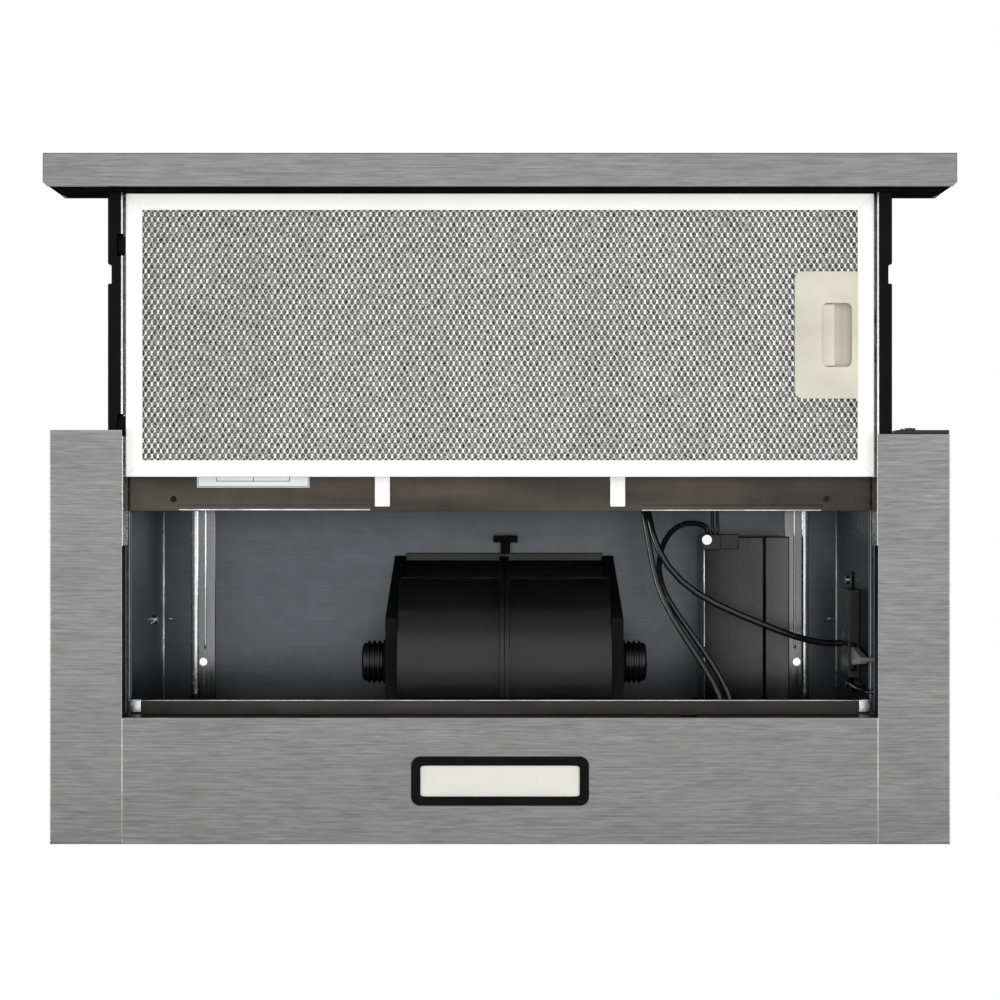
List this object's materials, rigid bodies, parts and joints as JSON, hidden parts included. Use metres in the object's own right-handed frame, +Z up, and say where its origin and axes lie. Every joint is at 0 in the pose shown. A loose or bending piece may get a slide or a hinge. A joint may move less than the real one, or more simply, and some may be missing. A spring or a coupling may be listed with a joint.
{
  "type": "under cabinet range hood",
  "caption": "Slim telescopic cooker hood with a pull-out grease filter drawer, open filter bay, twin-inlet blower, lamp strip and round outlet with backdraft flaps.",
  "frame": {"origin": "middle of the four cabinet fixing holes, on the top face of the roof", "axes": "+Z up out of the roof and along the outlet, -Y towards the user and the drawer, +X to the right seen from the front"},
  "size_m": [0.598, 0.4555, 0.204],
  "materials": {
    "brushed_steel": "brushed along the width",
    "galvanised_steel": "zinc coated, dull",
    "bright_steel": "bright zinc plated",
    "black_plastic": "satin moulded",
    "black_rubber": "smooth",
    "white_plastic": "moulded",
    "pale_frame": "pale powder coat",
    "filter_aluminium": "expanded mesh",
    "beige_plastic": "moulded",
    "lamp_lens": "opal",
    "led_board": "solder resist",
    "motor_steel": "cast and plated",
    "wheel_plastic": "moulded",
    "capacitor_plastic": "moulded",
    "knob_plastic": "moulded",
    "label_paper": "blank foil label"
  },
  "bodies": {
    "hood": {"underside_left": "brushed_steel", "underside_right": "brushed_steel", "lamp_panel": "brushed_steel", "roof_panel": "galvanised_steel", "side_panel_left": "galvanised_steel", "side_panel_right": "galvanised_steel", "back_panel": "galvanised_steel", "front_panel": "galvanised_steel", "rear_shelf": "galvanised_steel", "fixing_strips": "galvanised_steel", "guide_channels": "galvanised_steel", "junction_box": "galvanised_steel", "motor_bracket": "galvanised_steel", "corner_tabs": "bright_steel", "body_screws": "bright_steel", "outlet_collar": "black_plastic", "control_panel": "black_plastic", "scroll_left": "black_plastic", "scroll_right": "black_plastic", "inlet_plate_left": "black_plastic", "inlet_plate_right": "black_plastic", "bearing_caps": "black_plastic", "housing_clip": "black_plastic", "box_bracket": "black_plastic", "drawer_switch": "black_plastic", "lamp_bezel": "black_plastic", "cable_gland": "black_rubber", "drawer_buffers": "black_rubber", "switch_cable": "black_rubber", "lamp_cable": "black_rubber", "box_cable": "black_rubber", "supply_wires": "black_rubber", "motor_lead": "black_rubber", "control_cable": "black_rubber", "shelf_clips": "white_plastic", "terminal_block": "white_plastic", "lamp_housing": "white_plastic", "lamp_lens": "lamp_lens", "led_board": "led_board", "motor": "motor_steel", "capacitor": "capacitor_plastic", "rating_label": "label_paper"},
    "drawer": {"front_bar": "brushed_steel", "bar_carrier": "black_plastic", "drawer_runners": "bright_steel", "rail_covers": "black_plastic", "rail_glides": "white_plastic"},
    "grease_filter": {"filter_frame": "pale_frame", "filter_mesh": "filter_aluminium", "filter_core": "filter_aluminium", "latch_plate": "beige_plastic"},
    "filter_latch": {"latch_slider": "beige_plastic"},
    "fan_rotor": {"rotor_shaft": "bright_steel", "impeller_left": "wheel_plastic", "impeller_right": "wheel_plastic"},
    "lamp_slider": {"lamp_knob": "knob_plastic"},
    "speed_slider": {"speed_knob": "knob_plastic"},
    "drawer_switch_lever": {"switch_lever": "white_plastic"},
    "front_flap": {"flap_front": "black_plastic"},
    "rear_flap": {"flap_rear": "black_plastic"}
  },
  "joints": [
    {"name": "drawer_slide", "type": "slide", "parent": "hood", "child": "drawer", "axis": [0, 1, 0], "range_m": [0, 0.153]},
    {"name": "filter_drop", "type": "hinge", "parent": "drawer", "child": "grease_filter", "pos_m": [-0.2518, -0.16045, -0.1454], "axis": [0, 1, 0], "range_deg": [0, 40]},
    {"name": "latch_slide", "type": "slide", "parent": "grease_filter", "child": "filter_latch", "axis": [-1, 0, 0], "range_m": [0, 0.007], "stiffness_N_per_m": 200},
    {"name": "fan_spin", "type": "hinge", "parent": "hood", "child": "fan_rotor", "pos_m": [0.003, 0.064, -0.069], "axis": [1, 0, 0], "continuous": true},
    {"name": "lamp_switch_slide", "type": "slide", "parent": "hood", "child": "lamp_slider", "axis": [1, 0, 0], "range_m": [0, 0.008]},
    {"name": "speed_switch_slide", "type": "slide", "parent": "hood", "child": "speed_slider", "axis": [1, 0, 0], "range_m": [0, 0.014]},
    {"name": "switch_lever_swing", "type": "hinge", "parent": "hood", "child": "drawer_switch_lever", "pos_m": [0.2468, 0.058, -0.084], "axis": [1, 0, 0], "range_deg": [0, 12], "stiffness_Nm_per_rad": 0.05},
    {"name": "front_flap_swing", "type": "hinge", "parent": "hood", "child": "front_flap", "pos_m": [0.003, 0.045, 0.0124], "axis": [-1, 0, 0], "range_deg": [0, 75]},
    {"name": "rear_flap_swing", "type": "hinge", "parent": "hood", "child": "rear_flap", "pos_m": [0.003, 0.054, 0.0124], "axis": [1, 0, 0], "range_deg": [0, 75]}
  ]
}
